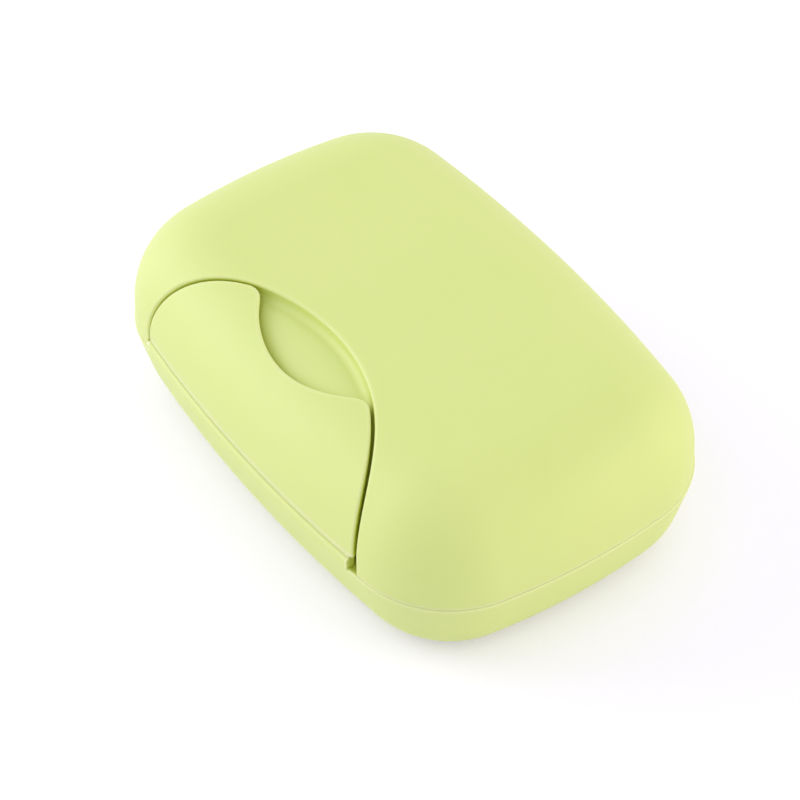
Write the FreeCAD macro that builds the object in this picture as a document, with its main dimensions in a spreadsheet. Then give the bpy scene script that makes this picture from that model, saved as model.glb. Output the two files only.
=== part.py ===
"""Travel soap box: base, hinged lid, clasp flap on a film hinge, lip seal and drain tray.

Frame: X runs along the length, the clasp side faces -Y and Z points up.
The origin is the middle of the flat underside. Sizes are millimetres and degrees.
"""
import FreeCAD, Part
import math
import os

import Sketcher

SIZES = {
    # Plan outline of the base rim: four bowed sides joined by round corners
    "length": 115.0,
    "depth": 77.5,
    "long_side_radius": 311.0,
    "short_side_radius": 133.0,
    "corner_radius": 21.4,
    # Base
    "base_height": 18.2,
    "base_draft": 15.0,
    "base_edge_radius": 12.6,
    "base_inner_radius": 9.5,
    "floor_thickness": 2.2,
    "rim_round": 0.4,
    "lip_wall": 1.6,
    "lip_height": 3.5,
    "lip_gap": 0.3,
    # Lid
    "lid_height": 21.8,
    "lid_edge_radius": 18.0,
    "lid_setback": 0.4,
    "lid_wall": 1.6,
    # Pocket in the lid that takes the clasp flap
    "pocket_radius": 42.0,
    "pocket_standoff": 19.45,
    "clasp_offset": 0.5,
    "pocket_depth": 2.6,
    "pocket_wall": 1.0,
    "mouth_round": 0.6,
    "pocket_floor_round": 1.6,
    # Clasp flap, the rail that carries it and the film hinge between them
    "flap_thickness": 1.6,
    "flap_side_gap": 0.55,
    "flap_offset": 0.2,
    "scallop_radius": 24.4,
    "scallop_reach": 29.85,
    "horn_radius": 3.6,
    "flap_round": 0.5,
    "notch_width": 2.45,
    "rail_gap": 0.35,
    "rail_height": 2.5,
    "rail_wall": 1.8,
    "rail_root": 1.2,
    "rail_bevel": 0.45,
    "film_height": 1.2,
    "film_wall": 0.45,
    "film_recess": 0.15,
    # Rear hinge
    "hinge_standoff": 1.5,
    "barrel_radius": 2.2,
    "barrel_gap": 0.35,
    "lid_knuckle_length": 18.0,
    "base_knuckle_length": 10.0,
    "knuckle_gap": 0.3,
    "pin_radius": 0.9,
    "pin_fit": 0.04,
    "pin_recess": 0.4,
    # Seal ring in a groove round the lip
    "seal_above_rim": 1.1,
    "seal_height": 1.2,
    "seal_depth": 0.8,
    "seal_proud": 0.15,
    # Drain tray
    "tray_stand": 5.0,
    "tray_thickness": 1.8,
    "tray_gap": 2.0,
    "tray_edge_radius": 0.6,
    "slot_width": 4.0,
    "slot_land": 7.7,
    "slot_pitch": 9.0,
    "slot_count": 7,
    "foot_radius": 3.0,
    "foot_spacing_long": 72.0,
    "foot_spacing_short": 28.0,
    # How far cutting solids run past what they cut
    "overrun": 2.0,
}

# Heights above the underside
RIM = "sizes.base_height"
TOP = "sizes.base_height + sizes.lid_height"
LIP_TOP = f"{RIM} + sizes.lip_height"
RAIL_TOP = f"{RIM} + sizes.rail_height"
FLAP_FLOOR = f"{RAIL_TOP} + sizes.film_height"
SEAL_FLOOR = f"{RIM} + sizes.seal_above_rim"
TRAY_FLOOR = "sizes.floor_thickness + sizes.tray_stand"

# Distances in from the rim outline
LID_INNER = "sizes.lid_setback + sizes.lid_wall"
BACKING = "sizes.pocket_depth + sizes.pocket_wall"
FRONT_STEP = f"{BACKING} - sizes.lid_wall"
LIP_OUTER = f"{LID_INNER} + sizes.lip_gap"
LIP_INNER = f"{LIP_OUTER} + sizes.lip_wall"
FLOOR_CURVE = (
    "sizes.base_inner_radius"
    " - sqrt(sizes.base_inner_radius ^ 2 - (sizes.base_inner_radius - sizes.tray_stand) ^ 2)"
)
TRAY_INSET = f"{LIP_INNER} + {FLOOR_CURVE} + sizes.tray_gap"
SLOT_REACH = f"sizes.depth / 2 - ({TRAY_INSET}) - ({FRONT_STEP}) - sizes.slot_land"
FILM_FACE = "sizes.lid_setback + sizes.film_recess"

# Places of the clasp and of the rear hinge's axis
FRONT = "sizes.depth / 2"
POCKET_CENTRE = f"{FRONT} + sizes.pocket_standoff"
POCKET_SPAN = "(sizes.long_side_radius + sizes.pocket_standoff)"
POCKET_REACH = (
    f"({POCKET_SPAN} ^ 2 + sizes.pocket_radius ^ 2 - sizes.long_side_radius ^ 2)"
    f" / (2 * {POCKET_SPAN})"
)
POCKET_HALF = f"sqrt(sizes.pocket_radius ^ 2 - ({POCKET_REACH}) ^ 2)"
RAIL_LEFT = f"-({POCKET_HALF}) - sizes.clasp_offset"
RAIL_RIGHT = f"{POCKET_HALF} - sizes.clasp_offset - sizes.notch_width"
SCALLOP_CENTRE = f"{POCKET_CENTRE} - sizes.scallop_reach - sizes.scallop_radius"
HINGE_Y = "sizes.depth / 2 + sizes.hinge_standoff"
KNUCKLE_START = "sizes.lid_knuckle_length / 2 + sizes.knuckle_gap"
BARREL_HALF = f"{KNUCKLE_START} + sizes.base_knuckle_length"

LEVEL_TOLERANCE = 1e-6
SKIN_TOLERANCE = 1e-3
ALONG_X = FreeCAD.Rotation(FreeCAD.Vector(0, 1, 0), 90)

doc = FreeCAD.newDocument("soap_box")
sheet = doc.addObject("Spreadsheet::Sheet", "sizes")


def fill_sheet():
    """Put every driving size into the sheet under its own alias."""
    for row, (alias, value) in enumerate(SIZES.items(), start=1):
        sheet.set(f"A{row}", alias)
        sheet.set(f"B{row}", str(value))
        sheet.setAlias(f"B{row}", alias)
    doc.recompute()


def size(expression):
    """Return the number that an expression on the sheet gives."""
    return float(sheet.evalExpression(expression))


def bind(feature, **expressions):
    """Bind properties of a feature to expressions on the sheet."""
    for name, expression in expressions.items():
        feature.setExpression(name, expression)
    return feature


def flat_sketch(body, name, height):
    """Return a new sketch of the body, level with the underside and raised to a height."""
    sketch = body.newObject("Sketcher::SketchObject", name)
    plane = next(item for item in body.Origin.OriginFeatures if item.Role == "XY_Plane")
    sketch.AttachmentSupport = [(plane, "")]
    sketch.MapMode = "FlatFace"
    sketch.setExpression("AttachmentOffset.Base.z", height)
    return sketch


def drive(sketch, constraint, name, expression):
    """Add a named constraint to a sketch and bind it to an expression."""
    index = sketch.addConstraint(constraint)
    sketch.renameConstraint(index, name)
    sketch.setExpression(f"Constraints.{name}", expression)


def corner_centre(long_y, short_x, long_reach, short_reach, side_x, side_y):
    """Return the centre of a corner arc, where two circles about the sides' centres cross."""
    offset_x = short_x
    offset_y = -long_y
    span = math.hypot(offset_x, offset_y)
    along = (long_reach**2 - short_reach**2 + span**2) / (2 * span)
    across = math.sqrt(long_reach**2 - along**2)
    foot_x = along * offset_x / span
    foot_y = long_y + along * offset_y / span
    step_x = across * offset_y / span
    step_y = -across * offset_x / span
    found = [FreeCAD.Vector(foot_x + turn * step_x, foot_y + turn * step_y) for turn in (1, -1)]
    return max(found, key=lambda point: point.x * side_x + point.y * side_y)


def arc(centre, radius, toward_start, toward_end):
    """Return an arc, counter-clockwise between the directions of two points."""
    circle = Part.Circle(centre, FreeCAD.Vector(0, 0, 1), radius)
    angles = [math.atan2(way.y, way.x) for way in (toward_start, toward_end)]
    return Part.ArcOfCircle(circle, angles[0], angles[1])


def outline_sketch(body, name, height, inset, front_step="0"):
    """Sketch the rim outline moved in by an inset, and further at the front by a step."""
    sketch = flat_sketch(body, name, height)
    moved = size(inset)
    long_radius = size("sizes.long_side_radius")
    short_radius = size("sizes.short_side_radius")
    corner_radius = size("sizes.corner_radius")
    front_y = f"sizes.long_side_radius - sizes.depth / 2 + {front_step}"
    rear_y = "sizes.long_side_radius - sizes.depth / 2"
    side_x = "sizes.short_side_radius - sizes.length / 2"
    centres = {
        "front": FreeCAD.Vector(0, size(front_y), 0),
        "right": FreeCAD.Vector(-size(side_x), 0, 0),
        "rear": FreeCAD.Vector(0, -size(rear_y), 0),
        "left": FreeCAD.Vector(size(side_x), 0, 0),
    }
    order = ("front", "right", "rear", "left")
    ways = {"front": (0, -1), "right": (1, 0), "rear": (0, 1), "left": (-1, 0)}
    corners = []
    for first, second in zip(order, order[1:] + order[:1]):
        long_side = first if first in ("front", "rear") else second
        short_side = second if long_side == first else first
        corners.append(
            corner_centre(
                centres[long_side].y,
                centres[short_side].x,
                long_radius - corner_radius,
                short_radius - corner_radius,
                ways[short_side][0],
                ways[long_side][1],
            )
        )
    sides = {}
    corner_arcs = []
    for index, side in enumerate(order):
        centre = centres[side]
        before = corners[index - 1]
        after = corners[index]
        radius = (long_radius if side in ("front", "rear") else short_radius) - moved
        sides[side] = sketch.addGeometry(arc(centre, radius, before - centre, after - centre))
        following = centres[order[(index + 1) % len(order)]]
        bend = arc(after, corner_radius - moved, after - centre, after - following)
        corner_arcs.append(sketch.addGeometry(bend))
    loop = [item for pair in zip(sides.values(), corner_arcs) for item in pair]
    for first, second in zip(loop, loop[1:] + loop[:1]):
        sketch.addConstraint(Sketcher.Constraint("Tangent", first, 2, second, 1))
    for other in corner_arcs[1:]:
        sketch.addConstraint(Sketcher.Constraint("Equal", corner_arcs[0], other))
    sketch.addConstraint(Sketcher.Constraint("Equal", sides["front"], sides["rear"]))
    sketch.addConstraint(Sketcher.Constraint("Equal", sides["left"], sides["right"]))
    for side in ("front", "rear"):
        sketch.addConstraint(Sketcher.Constraint("PointOnObject", sides[side], 3, -2))
    for side in ("left", "right"):
        sketch.addConstraint(Sketcher.Constraint("PointOnObject", sides[side], 3, -1))
    far_front = Sketcher.Constraint("DistanceY", -1, 1, sides["front"], 3, size(front_y))
    far_rear = Sketcher.Constraint("DistanceY", sides["rear"], 3, -1, 1, size(rear_y))
    far_right = Sketcher.Constraint("DistanceX", sides["right"], 3, -1, 1, size(side_x))
    far_left = Sketcher.Constraint("DistanceX", -1, 1, sides["left"], 3, size(side_x))
    drive(sketch, far_front, "front_centre", front_y)
    drive(sketch, far_rear, "rear_centre", rear_y)
    drive(sketch, far_right, "right_centre", side_x)
    drive(sketch, far_left, "left_centre", side_x)
    long_bow = Sketcher.Constraint("Radius", sides["front"], long_radius - moved)
    short_bow = Sketcher.Constraint("Radius", sides["right"], short_radius - moved)
    corner_bow = Sketcher.Constraint("Radius", corner_arcs[0], corner_radius - moved)
    drive(sketch, long_bow, "long_bow", f"sizes.long_side_radius - ({inset})")
    drive(sketch, short_bow, "short_bow", f"sizes.short_side_radius - ({inset})")
    drive(sketch, corner_bow, "corner_bow", f"sizes.corner_radius - ({inset})")
    return sketch


def level_edges(feature, height):
    """Return the names of a feature's edges that lie level at a height."""
    level = size(height)
    return [
        f"Edge{index}"
        for index, edge in enumerate(feature.Shape.Edges, start=1)
        if abs(edge.BoundBox.ZMin - level) < LEVEL_TOLERANCE
        and abs(edge.BoundBox.ZMax - level) < LEVEL_TOLERANCE
    ]


def round_level(body, name, height, radius):
    """Round every edge of a body's last feature that lies level at a height."""
    doc.recompute()
    last = body.Tip
    fillet = body.newObject("PartDesign::Fillet", name)
    fillet.Base = (last, level_edges(last, height))
    return bind(fillet, Radius=radius)


def bevel_level(body, name, height, leg):
    """Bevel every edge of a body's last feature that lies level at a height."""
    doc.recompute()
    last = body.Tip
    bevel = body.newObject("PartDesign::Chamfer", name)
    bevel.Base = (last, level_edges(last, height))
    return bind(bevel, Size=leg)


def outline_body(name, floor, top, inset, front_step="0", downward=False, draft=None):
    """Return a body padded from the rim outline between two heights."""
    body = doc.addObject("PartDesign::Body", name)
    start = top if downward else floor
    sketch = outline_sketch(body, f"{name}_outline", start, inset, front_step)
    pad = body.newObject("PartDesign::Pad", f"{name}_pad")
    pad.Profile = sketch
    pad.Reversed = downward
    bind(pad, Length=f"({top}) - ({floor})")
    if draft:
        bind(pad, TaperAngle=draft)
    return body


def lid_form(name, floor, depth):
    """Return the lid's outer form moved in by a depth on every side, from a floor upward."""
    top = f"{TOP} - ({depth})"
    body = outline_body(name, floor, top, f"sizes.lid_setback + {depth}")
    round_level(body, f"{name}_edge", top, f"sizes.lid_edge_radius - ({depth})")
    return body


def base_form(name):
    """Return the base's outer form: drawn in toward a flat underside with a round edge."""
    body = outline_body(name, "0", RIM, "0", downward=True, draft="-sizes.base_draft")
    round_level(body, f"{name}_edge", "0", "sizes.base_edge_radius")
    return body


def upright(name, radius, centre_y, floor, top):
    """Return an upright cylinder on the clasp's middle plane."""
    cylinder = doc.addObject("Part::Cylinder", name)
    bind(cylinder, Radius=radius, Height=f"({top}) - ({floor})")
    cylinder.setExpression("Placement.Base.x", "-sizes.clasp_offset")
    cylinder.setExpression("Placement.Base.y", centre_y)
    cylinder.setExpression("Placement.Base.z", floor)
    return cylinder


def lying(name, radius, start_x, length):
    """Return a cylinder on the rear hinge's axis."""
    cylinder = doc.addObject("Part::Cylinder", name)
    cylinder.Placement = FreeCAD.Placement(FreeCAD.Vector(0, 0, 0), ALONG_X)
    bind(cylinder, Radius=radius, Height=length)
    cylinder.setExpression("Placement.Base.x", start_x)
    cylinder.setExpression("Placement.Base.y", HINGE_Y)
    cylinder.setExpression("Placement.Base.z", RIM)
    return cylinder


def block(name, start, end):
    """Return a box between two corners, each a triple of expressions."""
    box = doc.addObject("Part::Box", name)
    for side, axis, low, high in zip(("Length", "Width", "Height"), "xyz", start, end):
        box.setExpression(side, f"({high}) - ({low})")
        box.setExpression(f"Placement.Base.{axis}", low)
    return box


def cut(name, base, tool):
    """Return the first solid with the second taken away."""
    result = doc.addObject("Part::Cut", name)
    result.Base = base
    result.Tool = tool
    return result


def common(name, base, tool):
    """Return what two solids share."""
    result = doc.addObject("Part::Common", name)
    result.Base = base
    result.Tool = tool
    return result


def fuse(name, *shapes):
    """Return several solids joined into one."""
    result = doc.addObject("Part::MultiFuse", name)
    result.Shapes = list(shapes)
    return result


def skin_edges(feature, outer, wanted):
    """Return the numbers of a solid's edges on an outer form's skin whose middle is wanted."""
    doc.recompute()
    skin = outer.Shape.Shells[0]
    found = []
    for index, edge in enumerate(feature.Shape.Edges, start=1):
        middle = edge.valueAt((edge.FirstParameter + edge.LastParameter) / 2)
        if wanted(middle) and Part.Vertex(middle).distToShape(skin)[0] < SKIN_TOLERANCE:
            found.append(index)
    return found


def round_edges(name, feature, edges, radius):
    """Round the numbered edges of a solid."""
    rounding = doc.addObject("Part::Fillet", name)
    rounding.Base = feature
    rounding.Edges = [(index, size(radius), size(radius)) for index in edges]
    return rounding


def clasp_strip(name, outer, inner, end_gap, floor, top):
    """Return a solid's front wall under the flap, from the pocket's left end to the right notch."""
    wall = cut(f"{name}_wall", outer, inner)
    corner_low = (RAIL_LEFT, f"-({FRONT}) - sizes.overrun", floor)
    corner_high = (RAIL_RIGHT, "0 * sizes.depth", top)
    length = common(f"{name}_length", wall, block(f"{name}_block", corner_low, corner_high))
    radius = f"sizes.pocket_radius - {end_gap}"
    end = upright(f"{name}_end", radius, f"-({POCKET_CENTRE})", floor, top)
    return common(name, length, end)


def build_base():
    """Build the base: bowl, rail under the clasp, lip with its seal groove and hinge knuckles."""
    bowl = base_form("bowl")
    round_level(bowl, "bowl_rim_round", RIM, "sizes.rim_round")
    sharp_bowl = base_form("sharp_bowl")
    rim = outline_body("rail_rim", RIM, RAIL_TOP, "0")
    bevel_level(rim, "rail_rim_bevel", RAIL_TOP, "sizes.rail_bevel")
    rail_root = f"{RIM} - sizes.rail_root"
    rail_inside = outline_body("rail_inside", "0", TOP, "sizes.rail_wall")
    rail_solid = fuse("rail_solid", sharp_bowl, rim)
    rail = clasp_strip("rail", rail_solid, rail_inside, "sizes.rail_gap", rail_root, TOP)
    lip = outline_body("lip", f"{RIM} - sizes.rail_root", LIP_TOP, LIP_OUTER, FRONT_STEP)
    hollow_top = f"{LIP_TOP} + sizes.overrun"
    hollow = outline_body(
        "hollow", "sizes.floor_thickness", hollow_top, LIP_INNER, FRONT_STEP, downward=True
    )
    round_level(hollow, "hollow_floor_round", "sizes.floor_thickness", "sizes.base_inner_radius")
    seal_top = f"{SEAL_FLOOR} + sizes.seal_height"
    groove_outside = outline_body(
        "groove_outside", SEAL_FLOOR, seal_top, f"{LIP_OUTER} - sizes.lip_gap", FRONT_STEP
    )
    groove_floor = f"{LIP_OUTER} + sizes.seal_depth"
    groove_inside = outline_body(
        "groove_inside", f"{SEAL_FLOOR} - sizes.overrun", TOP, groove_floor, FRONT_STEP
    )
    groove = cut("groove", groove_outside, groove_inside)
    knuckles = []
    for name, start in (("left", f"-({BARREL_HALF})"), ("right", KNUCKLE_START)):
        barrel = lying(f"{name}_barrel", "sizes.barrel_radius", start, "sizes.base_knuckle_length")
        bracket = block(
            f"{name}_bracket",
            (start, "sizes.depth / 2 - sizes.lip_wall", f"{RIM} - sizes.barrel_radius"),
            (f"{start} + sizes.base_knuckle_length", HINGE_Y, RIM),
        )
        knuckles += [barrel, bracket]
    lid_room = lying(
        "lid_knuckle_room",
        "sizes.barrel_radius + sizes.barrel_gap",
        f"-({KNUCKLE_START})",
        f"2 * ({KNUCKLE_START})",
    )
    pin_bore = lying(
        "base_pin_bore",
        "sizes.pin_radius + sizes.pin_fit",
        f"-({BARREL_HALF}) - sizes.overrun",
        f"2 * ({BARREL_HALF} + sizes.overrun)",
    )
    shell = cut("base_bowl_hollowed", fuse("base_solid", bowl, rail, lip), hollow)
    grooved = cut("base_grooved", shell, groove)
    carried = fuse("base_with_knuckles", cut("base_with_room", grooved, lid_room), *knuckles)
    return cut("base_shell", carried, pin_bore)


def on_pocket_wall(point):
    """Tell whether a point above the lid's rim is on the pocket's round wall."""
    from_axis = math.hypot(point.x + size("sizes.clasp_offset"), point.y + size(POCKET_CENTRE))
    above = point.z > size(RIM) + SKIN_TOLERANCE
    return above and abs(from_axis - size("sizes.pocket_radius")) < SKIN_TOLERANCE


def above_flap_floor(point):
    """Tell whether a point is above the flap's lower edge."""
    return point.z > size(FLAP_FLOOR) + SKIN_TOLERANCE


def build_lid(outer):
    """Build the lid: shell with the clasp pocket, its backing and one hinge knuckle."""
    below = f"{RIM} - sizes.overrun"
    above = f"{TOP} + sizes.overrun"
    pocket_round = upright("pocket_round", "sizes.pocket_radius", f"-({POCKET_CENTRE})", below, above)
    pocket_floor = lid_form("pocket_floor", below, "sizes.pocket_depth")
    pocket = cut("pocket", pocket_round, pocket_floor)
    backing_round = upright(
        "backing_round", "sizes.pocket_radius + sizes.pocket_wall", f"-({POCKET_CENTRE})", below, above
    )
    backing_inside = lid_form("backing_inside", f"{below} - sizes.overrun", BACKING)
    backing = cut("backing", backing_round, backing_inside)
    room = lid_form("lid_room", f"{RIM} - sizes.overrun / 2", "sizes.lid_wall")
    lid_hollow = cut("lid_hollow", room, backing)
    pocketed = cut("lid_pocketed", outer, pocket)
    mouth = skin_edges(pocketed, outer, on_pocket_wall)
    mouthed = round_edges("pocket_mouth", pocketed, mouth, "sizes.mouth_round")
    corner = skin_edges(mouthed, pocket_floor, on_pocket_wall)
    rounded = round_edges("pocket_corner", mouthed, corner, "sizes.pocket_floor_round")
    shell = cut("lid_hollowed", rounded, lid_hollow)
    rooms = []
    for name, start in (
        ("left", f"-({BARREL_HALF}) - sizes.knuckle_gap"),
        ("right", "sizes.lid_knuckle_length / 2"),
    ):
        rooms.append(
            lying(
                f"{name}_knuckle_room",
                "sizes.barrel_radius + sizes.barrel_gap",
                start,
                "sizes.base_knuckle_length + 2 * sizes.knuckle_gap",
            )
        )
    barrel = lying(
        "lid_barrel", "sizes.barrel_radius", "-sizes.lid_knuckle_length / 2", "sizes.lid_knuckle_length"
    )
    bracket = block(
        "lid_bracket",
        ("-sizes.lid_knuckle_length / 2", "sizes.depth / 2 - sizes.lid_wall", RIM),
        ("sizes.lid_knuckle_length / 2", HINGE_Y, f"{RIM} + sizes.barrel_radius"),
    )
    pin_bore = lying(
        "lid_pin_bore",
        "sizes.pin_radius + sizes.pin_fit",
        "-sizes.lid_knuckle_length",
        "2 * sizes.lid_knuckle_length",
    )
    cleared = cut("lid_with_room", shell, fuse("knuckle_rooms", *rooms))
    return cut("lid_shell", fuse("lid_with_knuckle", cleared, barrel, bracket), pin_bore)


def circle_sketch(body, name, height, radius, centre_y):
    """Sketch a circle on the middle plane, its centre a distance in front of the origin."""
    sketch = flat_sketch(body, name, height)
    middle = FreeCAD.Vector(0, -size(centre_y), 0)
    ring = sketch.addGeometry(Part.Circle(middle, FreeCAD.Vector(0, 0, 1), size(radius)))
    sketch.addConstraint(Sketcher.Constraint("PointOnObject", ring, 3, -2))
    drive(sketch, Sketcher.Constraint("Radius", ring, size(radius)), "radius", radius)
    apart = Sketcher.Constraint("DistanceY", ring, 3, -1, 1, size(centre_y))
    drive(sketch, apart, "centre", centre_y)
    return sketch


def build_flap(outer):
    """Build the clasp flap: a piece of the lid's outer skin, scalloped at its free end."""
    plan = doc.addObject("PartDesign::Body", "flap_plan")
    flap_radius = "sizes.pocket_radius - sizes.flap_side_gap"
    disc = circle_sketch(plan, "flap_disc", FLAP_FLOOR, flap_radius, POCKET_CENTRE)
    pad = plan.newObject("PartDesign::Pad", "flap_pad")
    pad.Profile = disc
    bind(pad, Length=f"{TOP} + sizes.overrun - ({FLAP_FLOOR})")
    doc.recompute()
    whole = pad.Shape.Volume
    bite = circle_sketch(plan, "scallop_circle", FLAP_FLOOR, "sizes.scallop_radius", SCALLOP_CENTRE)
    scallop = plan.newObject("PartDesign::Pocket", "scallop")
    scallop.Profile = bite
    scallop.Type = "ThroughAll"
    scallop.Reversed = True
    doc.recompute()
    if not scallop.Shape.Volume < whole:
        raise RuntimeError("the scallop cuts nothing")
    horns = [
        f"Edge{index}"
        for index, edge in enumerate(scallop.Shape.Edges, start=1)
        if edge.BoundBox.ZLength > size("sizes.overrun")
        and abs(edge.BoundBox.Center.x) > LEVEL_TOLERANCE
        and edge.BoundBox.Center.y > -size(POCKET_CENTRE)
    ]
    rounding = plan.newObject("PartDesign::Fillet", "horn_round")
    rounding.Base = (scallop, horns)
    bind(rounding, Radius="sizes.horn_radius")
    plan.setExpression("Placement.Base.x", "-sizes.clasp_offset - sizes.flap_offset")
    inside = lid_form("flap_inside", f"{RIM} - sizes.overrun", "sizes.flap_thickness")
    sharp = common("sharp_flap", cut("flap_skin", outer, inside), plan)
    edges = skin_edges(sharp, outer, above_flap_floor)
    return round_edges("latch_flap", sharp, edges, "sizes.flap_round")


def build_film():
    """Build the film hinge: a thin strip between the rail's top and the flap's lower edge."""
    outside = outline_body("film_outside", "0", TOP, FILM_FACE)
    inside = outline_body("film_inside", "0", TOP, f"{FILM_FACE} + sizes.film_wall")
    return clasp_strip(
        "latch_film_hinge", outside, inside, "sizes.flap_side_gap", RAIL_TOP, FLAP_FLOOR
    )


def build_seal():
    """Build the seal ring that sits in the groove round the lip."""
    seal_top = f"{SEAL_FLOOR} + sizes.seal_height"
    outer_face = f"{LIP_OUTER} - sizes.seal_proud"
    inner_face = f"{LIP_OUTER} + sizes.seal_depth"
    outside = outline_body("seal_outside", SEAL_FLOOR, seal_top, outer_face, FRONT_STEP)
    below = f"{SEAL_FLOOR} - sizes.overrun"
    inside = outline_body("seal_inside", below, TOP, inner_face, FRONT_STEP)
    return cut("seal_ring", outside, inside)


def build_pin():
    """Build the pin of the rear hinge."""
    return lying(
        "hinge_pin",
        "sizes.pin_radius",
        f"-({BARREL_HALF}) + sizes.pin_recess",
        f"2 * ({BARREL_HALF} - sizes.pin_recess)",
    )


def slot_sketch(body, name, height, start_x):
    """Sketch one round-ended slot across the depth, a distance left of the middle."""
    sketch = flat_sketch(body, name, height)
    radius = size("sizes.slot_width / 2")
    half_run = f"{SLOT_REACH} - sizes.slot_width / 2"
    reach = size(half_run)
    middle_x = -size(start_x)
    left = FreeCAD.Vector(-1, 0, 0)
    right = FreeCAD.Vector(1, 0, 0)
    rear = FreeCAD.Vector(middle_x, reach, 0)
    front = FreeCAD.Vector(middle_x, -reach, 0)
    rear_end = sketch.addGeometry(arc(rear, radius, right, left))
    left_side = sketch.addGeometry(Part.LineSegment(rear + left * radius, front + left * radius))
    front_end = sketch.addGeometry(arc(front, radius, left, right))
    right_side = sketch.addGeometry(Part.LineSegment(front + right * radius, rear + right * radius))
    loop = (rear_end, left_side, front_end, right_side)
    for first, second in zip(loop, loop[1:] + loop[:1]):
        sketch.addConstraint(Sketcher.Constraint("Tangent", first, 2, second, 1))
    sketch.addConstraint(Sketcher.Constraint("Equal", rear_end, front_end))
    drive(sketch, Sketcher.Constraint("Radius", rear_end, radius), "radius", "sizes.slot_width / 2")
    rear_reach = Sketcher.Constraint("DistanceY", -1, 1, rear_end, 3, reach)
    front_reach = Sketcher.Constraint("DistanceY", front_end, 3, -1, 1, reach)
    rear_place = Sketcher.Constraint("DistanceX", rear_end, 3, -1, 1, -middle_x)
    front_place = Sketcher.Constraint("DistanceX", front_end, 3, -1, 1, -middle_x)
    drive(sketch, rear_reach, "rear_reach", half_run)
    drive(sketch, front_reach, "front_reach", half_run)
    drive(sketch, rear_place, "rear_place", start_x)
    drive(sketch, front_place, "front_place", start_x)
    return sketch


def build_tray():
    """Build the drain tray: a slotted plate on four feet."""
    top = f"{TRAY_FLOOR} + sizes.tray_thickness"
    body = outline_body("drain_tray", TRAY_FLOOR, top, TRAY_INSET, FRONT_STEP)
    round_level(body, "tray_edge", top, "sizes.tray_edge_radius")
    feet = flat_sketch(body, "tray_feet_plan", "sizes.floor_thickness")
    far_x = size("sizes.foot_spacing_long / 2")
    far_y = size("sizes.foot_spacing_short / 2")
    foot_radius = size("sizes.foot_radius")
    for index, (way_x, way_y) in enumerate(((-1, -1), (1, -1), (1, 1), (-1, 1))):
        middle = FreeCAD.Vector(way_x * far_x, way_y * far_y, 0)
        foot = feet.addGeometry(Part.Circle(middle, FreeCAD.Vector(0, 0, 1), foot_radius))
        round_foot = Sketcher.Constraint("Radius", foot, foot_radius)
        drive(feet, round_foot, f"foot_{index}", "sizes.foot_radius")
        ends_x = (-1, 1, foot, 3) if way_x > 0 else (foot, 3, -1, 1)
        ends_y = (-1, 1, foot, 3) if way_y > 0 else (foot, 3, -1, 1)
        apart_x = Sketcher.Constraint("DistanceX", *ends_x, far_x)
        apart_y = Sketcher.Constraint("DistanceY", *ends_y, far_y)
        drive(feet, apart_x, f"foot_{index}_x", "sizes.foot_spacing_long / 2")
        drive(feet, apart_y, f"foot_{index}_y", "sizes.foot_spacing_short / 2")
    legs = body.newObject("PartDesign::Pad", "tray_feet")
    legs.Profile = feet
    bind(legs, Length="sizes.tray_stand + sizes.tray_thickness / 2")
    doc.recompute()
    plain = legs.Shape.Volume
    slot = slot_sketch(body, "tray_slot", top, "sizes.slot_pitch * (sizes.slot_count - 1) / 2")
    opening = body.newObject("PartDesign::Pocket", "tray_opening")
    opening.Profile = slot
    bind(opening, Length="sizes.tray_thickness + sizes.tray_stand / 2")
    doc.recompute()
    if not opening.Shape.Volume < plain:
        raise RuntimeError("the tray's slot cuts nothing")
    row = body.newObject("PartDesign::LinearPattern", "tray_openings")
    row.Originals = [opening]
    row.Direction = (slot, ["H_Axis"])
    bind(row, Length="sizes.slot_pitch * (sizes.slot_count - 1)", Occurrences="sizes.slot_count")
    body.Tip = row
    doc.recompute()
    return body


def check(parts):
    """Stop unless every object recomputed and every part is one valid solid."""
    for item in doc.Objects:
        if "Invalid" in item.State or "Error" in item.State:
            raise RuntimeError(f"{item.Label} did not recompute: {item.State}")
    for part in parts:
        shape = part.Shape
        if shape.isNull() or not shape.isValid():
            raise RuntimeError(f"{part.Label} has no valid shape")
        if len(shape.Solids) != 1:
            raise RuntimeError(f"{part.Label} has {len(shape.Solids)} solids")


def main():
    """Build every piece, check it and write it to its own file."""
    fill_sheet()
    lid_outer = lid_form("lid_outer", RIM, "0")
    parts = [
        build_base(),
        build_lid(lid_outer),
        build_flap(lid_outer),
        build_film(),
        build_pin(),
        build_seal(),
        build_tray(),
    ]
    doc.recompute()
    check(parts)
    os.makedirs("parts", exist_ok=True)
    for part in parts:
        part.Shape.exportStep(f"parts/{part.Label}.step")
        box = part.Shape.optimalBoundingBox()
        print(f"{part.Label}: {part.Shape.Volume:.1f} mm3, z {box.ZMin:.2f} to {box.ZMax:.2f}")


main()
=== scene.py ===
"""Travel soap box: finishes, the clasp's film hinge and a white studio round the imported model."""

import logging
import math
from dataclasses import dataclass
from enum import Enum

import bpy
from mathutils import Matrix, Vector


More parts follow.
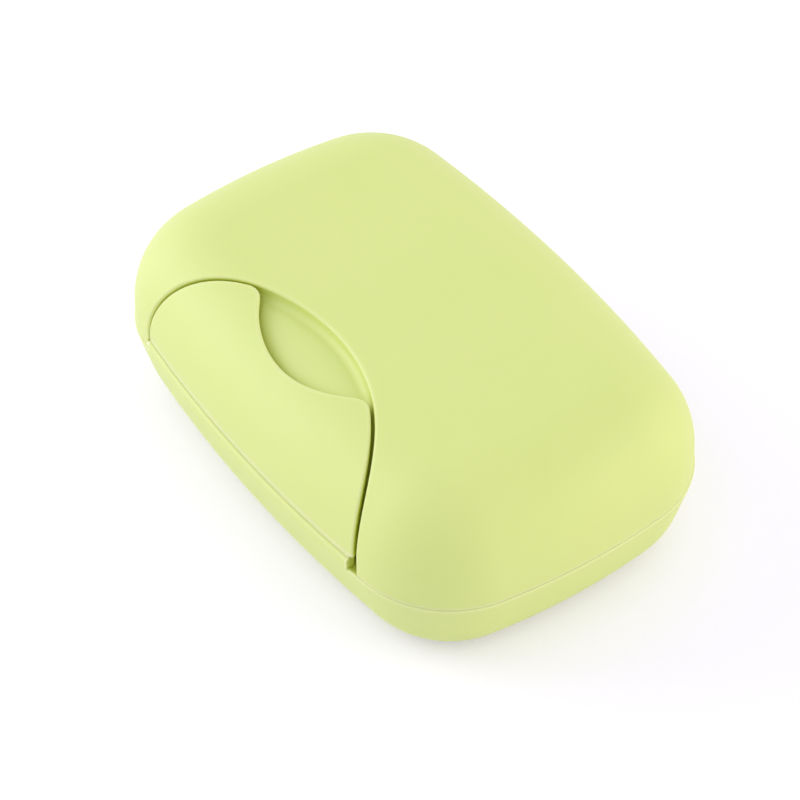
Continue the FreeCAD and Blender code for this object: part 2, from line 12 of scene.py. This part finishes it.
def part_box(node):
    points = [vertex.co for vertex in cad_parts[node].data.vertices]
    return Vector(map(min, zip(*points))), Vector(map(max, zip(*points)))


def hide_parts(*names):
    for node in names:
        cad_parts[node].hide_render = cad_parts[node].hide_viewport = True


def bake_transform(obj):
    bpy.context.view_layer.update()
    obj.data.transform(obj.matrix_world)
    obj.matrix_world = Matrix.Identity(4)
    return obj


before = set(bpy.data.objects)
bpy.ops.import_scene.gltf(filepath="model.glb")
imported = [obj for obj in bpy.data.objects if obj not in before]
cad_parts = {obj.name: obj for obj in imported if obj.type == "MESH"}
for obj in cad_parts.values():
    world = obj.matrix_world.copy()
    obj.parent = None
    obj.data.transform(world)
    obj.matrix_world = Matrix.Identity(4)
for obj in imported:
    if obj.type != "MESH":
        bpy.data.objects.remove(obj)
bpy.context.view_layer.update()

MM = 0.001
IMAGE_SIDE = 800

logger = logging.getLogger("soap_box")


class Body(Enum):
    """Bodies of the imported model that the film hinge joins."""

    BASE = "base"
    LATCH = "latch"


class Slot(Enum):
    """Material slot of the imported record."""

    LIME = "lime_pp"


def linear(hex_colour: str) -> tuple[float, float, float, float]:
    """Turn an sRGB hex colour to linear RGBA.

    Args:
        hex_colour: Six hex digits after a hash.

    Returns:
        Linear red, green and blue with an alpha of 1.
    """
    parts = [int(hex_colour[place:place + 2], 16) / 255 for place in (1, 3, 5)]
    red, green, blue = (
        part / 12.92 if part <= 0.04045 else ((part + 0.055) / 1.055) ** 2.4 for part in parts
    )
    return red, green, blue, 1.0


def per_metre(size_mm: float) -> float:
    """Return the texture scale at which one pattern cell is a size in millimetres."""
    return 1 / (size_mm * MM)


def add_node(
    tree: bpy.types.NodeTree, kind: str, inputs: dict[str | int, object], **settings: object
) -> bpy.types.Node:
    """Add a node with its settings and links.

    Args:
        tree: Node tree that takes the node.
        kind: Blender's name for the node type.
        inputs: Values or output sockets by input name or number.
        settings: Properties of the node itself.

    Returns:
        The new node.
    """
    node = tree.nodes.new(kind)
    for name, value in settings.items():
        setattr(node, name, value)
    for name, value in inputs.items():
        if isinstance(value, bpy.types.NodeSocket):
            tree.links.new(value, node.inputs[name])
        else:
            node.inputs[name].default_value = value
    return node


def bare_material(name: str) -> tuple[bpy.types.Material, bpy.types.NodeTree]:
    """Return a new material and its emptied node tree.

    Args:
        name: Name of the finish.

    Returns:
        The material and its tree.
    """
    material = bpy.data.materials.new(name)
    material.use_nodes = True
    material.node_tree.nodes.clear()
    return material, material.node_tree


@dataclass(frozen=True)
class MouldedPolypropylene:
    """Polypropylene, injection moulded in a finely spark-eroded tool.

    Attributes:
        name: Name of the finish.
        shade: Main colour.
        flow_shade: Colour of the faint flow clouds.
        edge_highlight_shade: Painted highlight colour along the rounded edges.
        groove_painted_shade: Painted shade, a deeper colour in grooves, recesses and gaps between
            parts.
        edge_highlight_mm: Reach of the painted edge highlight, less than the thinnest wall so that
            faces stay clear.
        groove_painted_shade_mm: Reach of the painted shade in grooves.
        flow_mm: Size of the flow clouds.
        grain_mm: Size of the mould grain.
        grain_depth_mm: Height of the mould grain.
        roughness: Middle of the satin gloss.
        gloss_spread: How far the grain moves the gloss to each side.
        glow: Share of light that scatters inside the wall.
        glow_mm: Reach of that light.
    """

    name: str
    shade: str
    flow_shade: str
    edge_highlight_shade: str
    groove_painted_shade: str
    edge_highlight_mm: float = 0.8
    groove_painted_shade_mm: float = 3.5
    flow_mm: float = 26.0
    grain_mm: float = 0.45
    grain_depth_mm: float = 0.012
    roughness: float = 0.55
    gloss_spread: float = 0.05
    glow: float = 0.25
    glow_mm: float = 1.2

    def material(self) -> bpy.types.Material:
        """Build the finish.

        Returns:
            The material.
        """
        material, tree = bare_material(self.name)
        place = add_node(tree, "ShaderNodeTexCoord", {}).outputs["Object"]
        # Pigment follows the melt, so the colour drifts a little over some centimetres
        clouds = add_node(
            tree,
            "ShaderNodeTexNoise",
            {"Vector": place, "Scale": per_metre(self.flow_mm), "Detail": 2.0},
        )
        colour = add_node(
            tree,
            "ShaderNodeMix",
            {"Factor": clouds.outputs["Fac"], "A": linear(self.shade), "B": linear(self.flow_shade)},
            data_type="RGBA",
        )
        # Painted highlight: the rounded edges are made lighter than the faces
        depth = add_node(
            tree,
            "ShaderNodeAmbientOcclusion",
            {"Distance": self.edge_highlight_mm * MM},
            inside=True,
            only_local=True,
            samples=8,
        )
        edge = add_node(
            tree,
            "ShaderNodeMapRange",
            {"Value": depth.outputs["AO"], "From Min": 0.94, "From Max": 0.55, "To Max": 0.85},
        )
        highlighted_colour = add_node(
            tree,
            "ShaderNodeMix",
            {
                "Factor": edge.outputs["Result"],
                "A": colour.outputs["Result"],
                "B": linear(self.edge_highlight_shade),
            },
            data_type="RGBA",
        )
        # Painted shade: grooves, recesses and gaps between parts take a deeper colour
        groove = add_node(
            tree, "ShaderNodeAmbientOcclusion", {"Distance": self.groove_painted_shade_mm * MM}, samples=8
        )
        painted_shade_mask = add_node(
            tree,
            "ShaderNodeMapRange",
            {"Value": groove.outputs["AO"], "From Min": 0.9, "From Max": 0.25, "To Max": 0.9},
        )
        shaded_colour = add_node(
            tree,
            "ShaderNodeMix",
            {
                "Factor": painted_shade_mask.outputs["Result"],
                "A": highlighted_colour.outputs["Result"],
                "B": linear(self.groove_painted_shade),
            },
            data_type="RGBA",
        )
        # Real spark grain is near 0.05 mm; it is drawn coarser so that it can show
        grain = add_node(
            tree,
            "ShaderNodeTexNoise",
            {"Vector": place, "Scale": per_metre(self.grain_mm), "Detail": 3.0},
        )
        gloss = add_node(
            tree,
            "ShaderNodeMapRange",
            {
                "Value": grain.outputs["Fac"],
                "To Min": self.roughness - self.gloss_spread,
                "To Max": self.roughness + self.gloss_spread,
            },
        )
        relief = add_node(
            tree,
            "ShaderNodeBump",
            {"Height": grain.outputs["Fac"], "Distance": self.grain_depth_mm * MM, "Strength": 0.6},
        )
        shader = add_node(
            tree,
            "ShaderNodeBsdfPrincipled",
            {
                "Base Color": shaded_colour.outputs["Result"],
                "Roughness": gloss.outputs["Result"],
                "Normal": relief.outputs["Normal"],
                "IOR": 1.49,
                "Specular IOR Level": 0.75,
                "Subsurface Weight": self.glow,
                "Subsurface Radius": (1.0, 1.0, 0.45),
                "Subsurface Scale": self.glow_mm * MM,
            },
        )
        add_node(tree, "ShaderNodeOutputMaterial", {"Surface": shader.outputs["BSDF"]})
        return material


@dataclass(frozen=True)
class CastSilicone:
    """Silicone rubber, cast as a ring: milky, soft and slightly dusty.

    Attributes:
        name: Name of the finish.
        shade: Colour of the rubber.
        dust_shade: Colour of the fine dust that it holds.
        dust_mm: Size of the dusty patches.
    """

    name: str
    shade: str
    dust_shade: str
    dust_mm: float = 3.0

    def material(self) -> bpy.types.Material:
        """Build the finish.

        Returns:
            The material.
        """
        material, tree = bare_material(self.name)
        place = add_node(tree, "ShaderNodeTexCoord", {}).outputs["Object"]
        dust = add_node(
            tree,
            "ShaderNodeTexNoise",
            {"Vector": place, "Scale": per_metre(self.dust_mm), "Detail": 4.0},
        )
        colour = add_node(
            tree,
            "ShaderNodeMix",
            {"Factor": dust.outputs["Fac"], "A": linear(self.shade), "B": linear(self.dust_shade)},
            data_type="RGBA",
        )
        gloss = add_node(
            tree, "ShaderNodeMapRange", {"Value": dust.outputs["Fac"], "To Min": 0.5, "To Max": 0.75}
        )
        shader = add_node(
            tree,
            "ShaderNodeBsdfPrincipled",
            {
                "Base Color": colour.outputs["Result"],
                "Roughness": gloss.outputs["Result"],
                "IOR": 1.41,
                "Subsurface Weight": 0.4,
                "Subsurface Radius": (1.0, 1.0, 0.9),
                "Subsurface Scale": 1.0 * MM,
            },
        )
        add_node(tree, "ShaderNodeOutputMaterial", {"Surface": shader.outputs["BSDF"]})
        return material


@dataclass(frozen=True)
class DrawnSteelWire:
    """Stainless steel wire, drawn through a die: bright, with fine lines along its length.

    Attributes:
        name: Name of the finish.
        shade: Colour of the steel.
        line_mm: Spacing of the draw lines, coarser than the real ones so that they show.
        line_depth_mm: Depth of the draw lines.
        run_mm: Length of the draw lines.
    """

    name: str
    shade: str
    line_mm: float = 0.12
    line_depth_mm: float = 0.004
    run_mm: float = 9.0

    def material(self) -> bpy.types.Material:
        """Build the finish.

        Returns:
            The material.
        """
        material, tree = bare_material(self.name)
        place = add_node(tree, "ShaderNodeTexCoord", {}).outputs["Object"]
        across = per_metre(self.line_mm)
        along = add_node(
            tree,
            "ShaderNodeMapping",
            {"Vector": place, "Scale": (per_metre(self.run_mm), across, across)},
        )
        lines = add_node(
            tree, "ShaderNodeTexNoise", {"Vector": along.outputs["Vector"], "Scale": 1.0, "Detail": 3.0}
        )
        gloss = add_node(
            tree, "ShaderNodeMapRange", {"Value": lines.outputs["Fac"], "To Min": 0.2, "To Max": 0.42}
        )
        relief = add_node(
            tree,
            "ShaderNodeBump",
            {"Height": lines.outputs["Fac"], "Distance": self.line_depth_mm * MM, "Strength": 0.5},
        )
        shader = add_node(
            tree,
            "ShaderNodeBsdfPrincipled",
            {
                "Base Color": linear(self.shade),
                "Metallic": 1.0,
                "Roughness": gloss.outputs["Result"],
                "Normal": relief.outputs["Normal"],
            },
        )
        add_node(tree, "ShaderNodeOutputMaterial", {"Surface": shader.outputs["BSDF"]})
        return material


@dataclass(frozen=True)
class StudioPaper:
    """Matt white background paper, with no gloss and a white of its own where it is seen directly.

    Attributes:
        name: Name of the finish.
        shade: Colour of the paper.
        lift_shade: Colour that is added where the paper is seen directly or mirrored.
        lift: How much of it is added.
    """

    name: str
    shade: str
    lift_shade: str
    lift: float

    def material(self) -> bpy.types.Material:
        """Build the finish.

        Returns:
            The material.
        """
        material, tree = bare_material(self.name)
        paper = add_node(tree, "ShaderNodeBsdfDiffuse", {"Color": linear(self.shade)})
        seen = seen_directly(tree)
        white = add_node(tree, "ShaderNodeMath", {0: seen, 1: self.lift}, operation="MULTIPLY")
        light = add_node(
            tree,
            "ShaderNodeEmission",
            {"Color": linear(self.lift_shade), "Strength": white.outputs["Value"]},
        )
        both = add_node(
            tree, "ShaderNodeAddShader", {0: paper.outputs["BSDF"], 1: light.outputs["Emission"]}
        )
        add_node(tree, "ShaderNodeOutputMaterial", {"Surface": both.outputs["Shader"]})
        return material


def seen_directly(tree: bpy.types.NodeTree) -> bpy.types.NodeSocket:
    """Return a socket that is 1 where a surface is seen by the camera, in a mirror or through glass.

    Args:
        tree: Node tree of the floor or the world.

    Returns:
        The socket.
    """
    path = add_node(tree, "ShaderNodeLightPath", {})
    mirrored = add_node(
        tree,
        "ShaderNodeMath",
        {0: path.outputs["Is Glossy Ray"], 1: path.outputs["Is Transmission Ray"]},
        operation="MAXIMUM",
    )
    either = add_node(
        tree,
        "ShaderNodeMath",
        {0: path.outputs["Is Camera Ray"], 1: mirrored.outputs["Value"]},
        operation="MAXIMUM",
    )
    return either.outputs["Value"]


def dress(node: str, material: bpy.types.Material) -> None:
    """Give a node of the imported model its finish.

    Args:
        node: Name of the node.
        material: Finish of the node.
    """
    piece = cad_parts[node]
    piece.data.materials.clear()
    piece.data.materials.append(material)
    logger.info("%s dressed in %s", node, material.name)


@dataclass
class Shells:
    """Base and lid, moulded in one colour, and the seal between them.

    Attributes:
        lime: Finish of both shells.
        seal: Finish of the ring round the base's lip.
    """

    lime: bpy.types.Material
    seal: bpy.types.Material

    def build(self) -> None:
        """Dress the base, the lid and the seal ring."""
        dress("base_shell", self.lime)
        dress("lid_shell", self.lime)
        dress("seal_ring", self.seal)


@dataclass
class Clasp:
    """Flap of the clasp and the film that joins it to the base's rail.

    Attributes:
        lime: Finish of the flap.
        thin_lime: Finish of the film.
        bow_mm: Radius of the film's bowed outer face in plan.
        thickness_mm: Thickness of the film where it joins the rail and the flap.
        waist: Share of the thickness that is left at the bend line.
        stations: Points along the film.
        levels: Points up the film.
    """

    lime: bpy.types.Material
    thin_lime: bpy.types.Material
    bow_mm: float = 310.45
    thickness_mm: float = 0.45
    waist: float = 0.55
    stations: int = 57
    levels: int = 13

    def build(self) -> None:
        """Dress the flap, then make the film between rail and flap in place of the imported one."""
        dress("latch_flap", self.lime)
        film = self.film()
        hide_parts("latch_film_hinge")
        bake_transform(film)
        logger.info("film hinge made with %d points", len(film.data.vertices))

    def film(self) -> bpy.types.Object:
        """Make the film as a closed strip, thinnest along its bend line.

        Returns:
            The film's object.
        """
        low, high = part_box("latch_film_hinge")
        bow = self.bow_mm * MM
        thickness = self.thickness_mm * MM
        profile = []
        for level in range(self.levels):
            share = level / (self.levels - 1)
            z = low.z + (high.z - low.z) * share
            pinch = math.sin(math.pi * share) ** 2 * (1 - self.waist)
            profile.append((z, pinch))
        rings = []
        for step in range(self.stations):
            x = low.x + (high.x - low.x) * step / (self.stations - 1)
            front = low.y + bow - math.sqrt(bow**2 - x**2)
            outer = [Vector((x, front + thickness * pinch / 2, z)) for z, pinch in profile]
            inner = [
                Vector((x, front + thickness * (1 - pinch / 2), z)) for z, pinch in reversed(profile)
            ]
            rings.append(outer + inner)
        return closed_strip("film_hinge", rings, self.thin_lime)


def closed_strip(
    name: str, rings: list[list[Vector]], material: bpy.types.Material
) -> bpy.types.Object:
    """Make a closed mesh through rings of equal count.

    Args:
        name: Name of the piece.
        rings: Points of each ring in order, along the strip.
        material: Finish of the piece.

    Returns:
        The piece's object.
    """
    count = len(rings[0])
    last = (len(rings) - 1) * count
    corners = [point for ring in rings for point in ring]
    faces = [list(range(count)), [last + place for place in reversed(range(count))]]
    for step in range(len(rings) - 1):
        for place in range(count):
            near = step * count + place
            beside = step * count + (place + 1) % count
            faces.append([near, near + count, beside + count, beside])
    mesh = bpy.data.meshes.new(name)
    mesh.from_pydata(corners, [], faces)
    mesh.materials.append(material)
    mesh.validate()
    piece = bpy.data.objects.new(name, mesh)
    bpy.context.scene.collection.objects.link(piece)
    return piece


@dataclass
class RearHinge:
    """Pin of the rear hinge.

    Attributes:
        steel: Finish of the pin.
    """

    steel: bpy.types.Material

    def build(self) -> None:
        """Dress the pin."""
        dress("hinge_pin", self.steel)


@dataclass
class DrainTray:
    """Loose tray that keeps the soap out of the water.

    Attributes:
        white: Finish of the tray.
    """

    white: bpy.types.Material

    def build(self) -> None:
        """Dress the tray."""
        dress("drain_tray", self.white)


@dataclass(frozen=True)
class Lamp:
    """Large soft lamp that faces the object.

    Attributes:
        name: Name of the lamp.
        place: Where it stands, in metres.
        side: Side of its square face, in metres.
        watts: Its power.
        tint: Colour of its light.
    """

    name: str
    place: tuple[float, float, float]
    side: float
    watts: float
    tint: str

    def build(self, aim: Vector) -> None:
        """Put up the lamp.

        Args:
            aim: Point that it faces.
        """
        data = bpy.data.lights.new(self.name, "AREA")
        data.shape = "SQUARE"
        data.size = self.side
        data.energy = self.watts
        data.color = linear(self.tint)[:3]
        lamp = bpy.data.objects.new(self.name, data)
        lamp.location = self.place
        lamp.rotation_euler = (aim - Vector(self.place)).to_track_quat("-Z", "Y").to_euler()
        bpy.context.scene.collection.objects.link(lamp)


@dataclass
class Studio:
    """White paper floor, soft lamps and the camera of the photograph.

    Attributes:
        floor_side: Side of the floor, in metres.
        aim: Point at the middle of the box, in metres.
        azimuth: Way round to the camera, in degrees.
        elevation: Height of the camera above the horizon, in degrees.
        roll: Turn of the camera about its view, in degrees.
        distance: Distance from the aim to the camera, in metres.
        focal_px: Focal length in pixels of the frame.
        aim_px: Pixel of the frame that shows the aim.
        ambient: Strength of the light from all sides.
    """

    floor_side: float = 6.0
    aim: tuple[float, float, float] = (0.0, 0.0, 0.02)
    azimuth: float = 55.61
    elevation: float = 45.30
    roll: float = -0.57
    distance: float = 0.7010
    focal_px: float = 3657.3
    aim_px: tuple[float, float] = (408.99, 374.3)
    ambient: float = 0.735

    def build(self) -> None:
        """Set up the camera, the floor, the lamps and the world."""
        self.camera()
        self.floor()
        aim = Vector(self.aim)
        for lamp in (
            Lamp("key_lamp", (-0.79, -0.62, 0.45), 0.8, 5.3, "#F3EFFF"),
            Lamp("warm_fill_lamp", (0.66, 0.76, 0.26), 0.9, 4.4, "#FFF0DC"),
        ):
            lamp.build(aim)
        self.world()
        bpy.context.scene.view_settings.view_transform = "Standard"

    def camera(self) -> None:
        """Put the camera where the photograph was taken from."""
        way = math.radians(self.azimuth)
        height = math.radians(self.elevation)
        turn = math.radians(self.roll)
        back = Vector(
            (math.sin(way) * math.cos(height), -math.cos(way) * math.cos(height), math.sin(height))
        )
        level = Vector((math.cos(way), math.sin(way), 0.0))
        upward = back.cross(level)
        right = level * math.cos(turn) + upward * math.sin(turn)
        top = upward * math.cos(turn) - level * math.sin(turn)
        aside = (IMAGE_SIDE / 2 - self.aim_px[0]) / self.focal_px
        below = (IMAGE_SIDE / 2 - self.aim_px[1]) / self.focal_px
        forward = (right * aside - top * below - back).normalized()
        right = (right - forward * right.dot(forward)).normalized()
        top = right.cross(forward)
        data = bpy.data.cameras.new("photo_camera")
        data.lens = self.focal_px / IMAGE_SIDE * data.sensor_width
        data.clip_start = 0.01
        camera = bpy.data.objects.new("photo_camera", data)
        turned = Matrix((right, top, -forward)).transposed().to_4x4()
        camera.matrix_world = Matrix.Translation(Vector(self.aim) + back * self.distance) @ turned
        bpy.context.scene.collection.objects.link(camera)
        bpy.context.scene.camera = camera

    def floor(self) -> None:
        """Lay the white paper under the box."""
        half = self.floor_side / 2
        mesh = bpy.data.meshes.new("paper_floor")
        corners = [(-half, -half, 0.0), (half, -half, 0.0), (half, half, 0.0), (-half, half, 0.0)]
        mesh.from_pydata(corners, [], [(0, 1, 2, 3)])
        mesh.materials.append(StudioPaper("matt white paper", "#F3F2F4", "#D9D3FA", 0.345).material())
        paper = bpy.data.objects.new("paper_floor", mesh)
        bpy.context.scene.collection.objects.link(paper)

    def world(self) -> None:
        """Light the box from all sides, with plain white where the world itself is seen."""
        world = bpy.data.worlds.new("white_room")
        world.use_nodes = True
        tree = world.node_tree
        tree.nodes.clear()
        strength = add_node(
            tree,
            "ShaderNodeMapRange",
            {"Value": seen_directly(tree), "To Min": self.ambient, "To Max": 1.0},
        )
        sky = add_node(
            tree,
            "ShaderNodeBackground",
            {"Color": linear("#FFFFFF"), "Strength": strength.outputs["Result"]},
        )
        add_node(tree, "ShaderNodeOutputWorld", {"Surface": sky.outputs["Background"]})
        bpy.context.scene.world = world


def main() -> None:
    """Dress every piece, then build the studio."""
    logging.basicConfig(level=logging.INFO, format="%(name)s: %(message)s")
    # The fourth and fifth colours of each polypropylene are painted light: a highlight along the edges
    # and shade in grooves
    lime = MouldedPolypropylene(
        "lime polypropylene, moulded satin", "#DEEC8F", "#E2EE97", "#F3F8C6", "#BEC81E"
    ).material()
    film = MouldedPolypropylene(
        "lime polypropylene, rolled thin", "#DEEC8F", "#E2EE97", "#E9F3AC", "#C6D03C"
    ).material()
    white = MouldedPolypropylene(
        "natural polypropylene, moulded", "#ECEDE2", "#F0F1E9", "#F6F6F1", "#CDCFC0", glow=0.4
    ).material()
    seal = CastSilicone("clear silicone, cast", "#DADFD2", "#E4E6DE").material()
    steel = DrawnSteelWire("stainless steel wire, drawn", "#C6C6C4").material()
    Shells(lime, seal).build()
    Clasp(lime, film).build()
    RearHinge(steel).build()
    DrainTray(white).build()
    Studio().build()


if __name__ == "__main__":
    main()
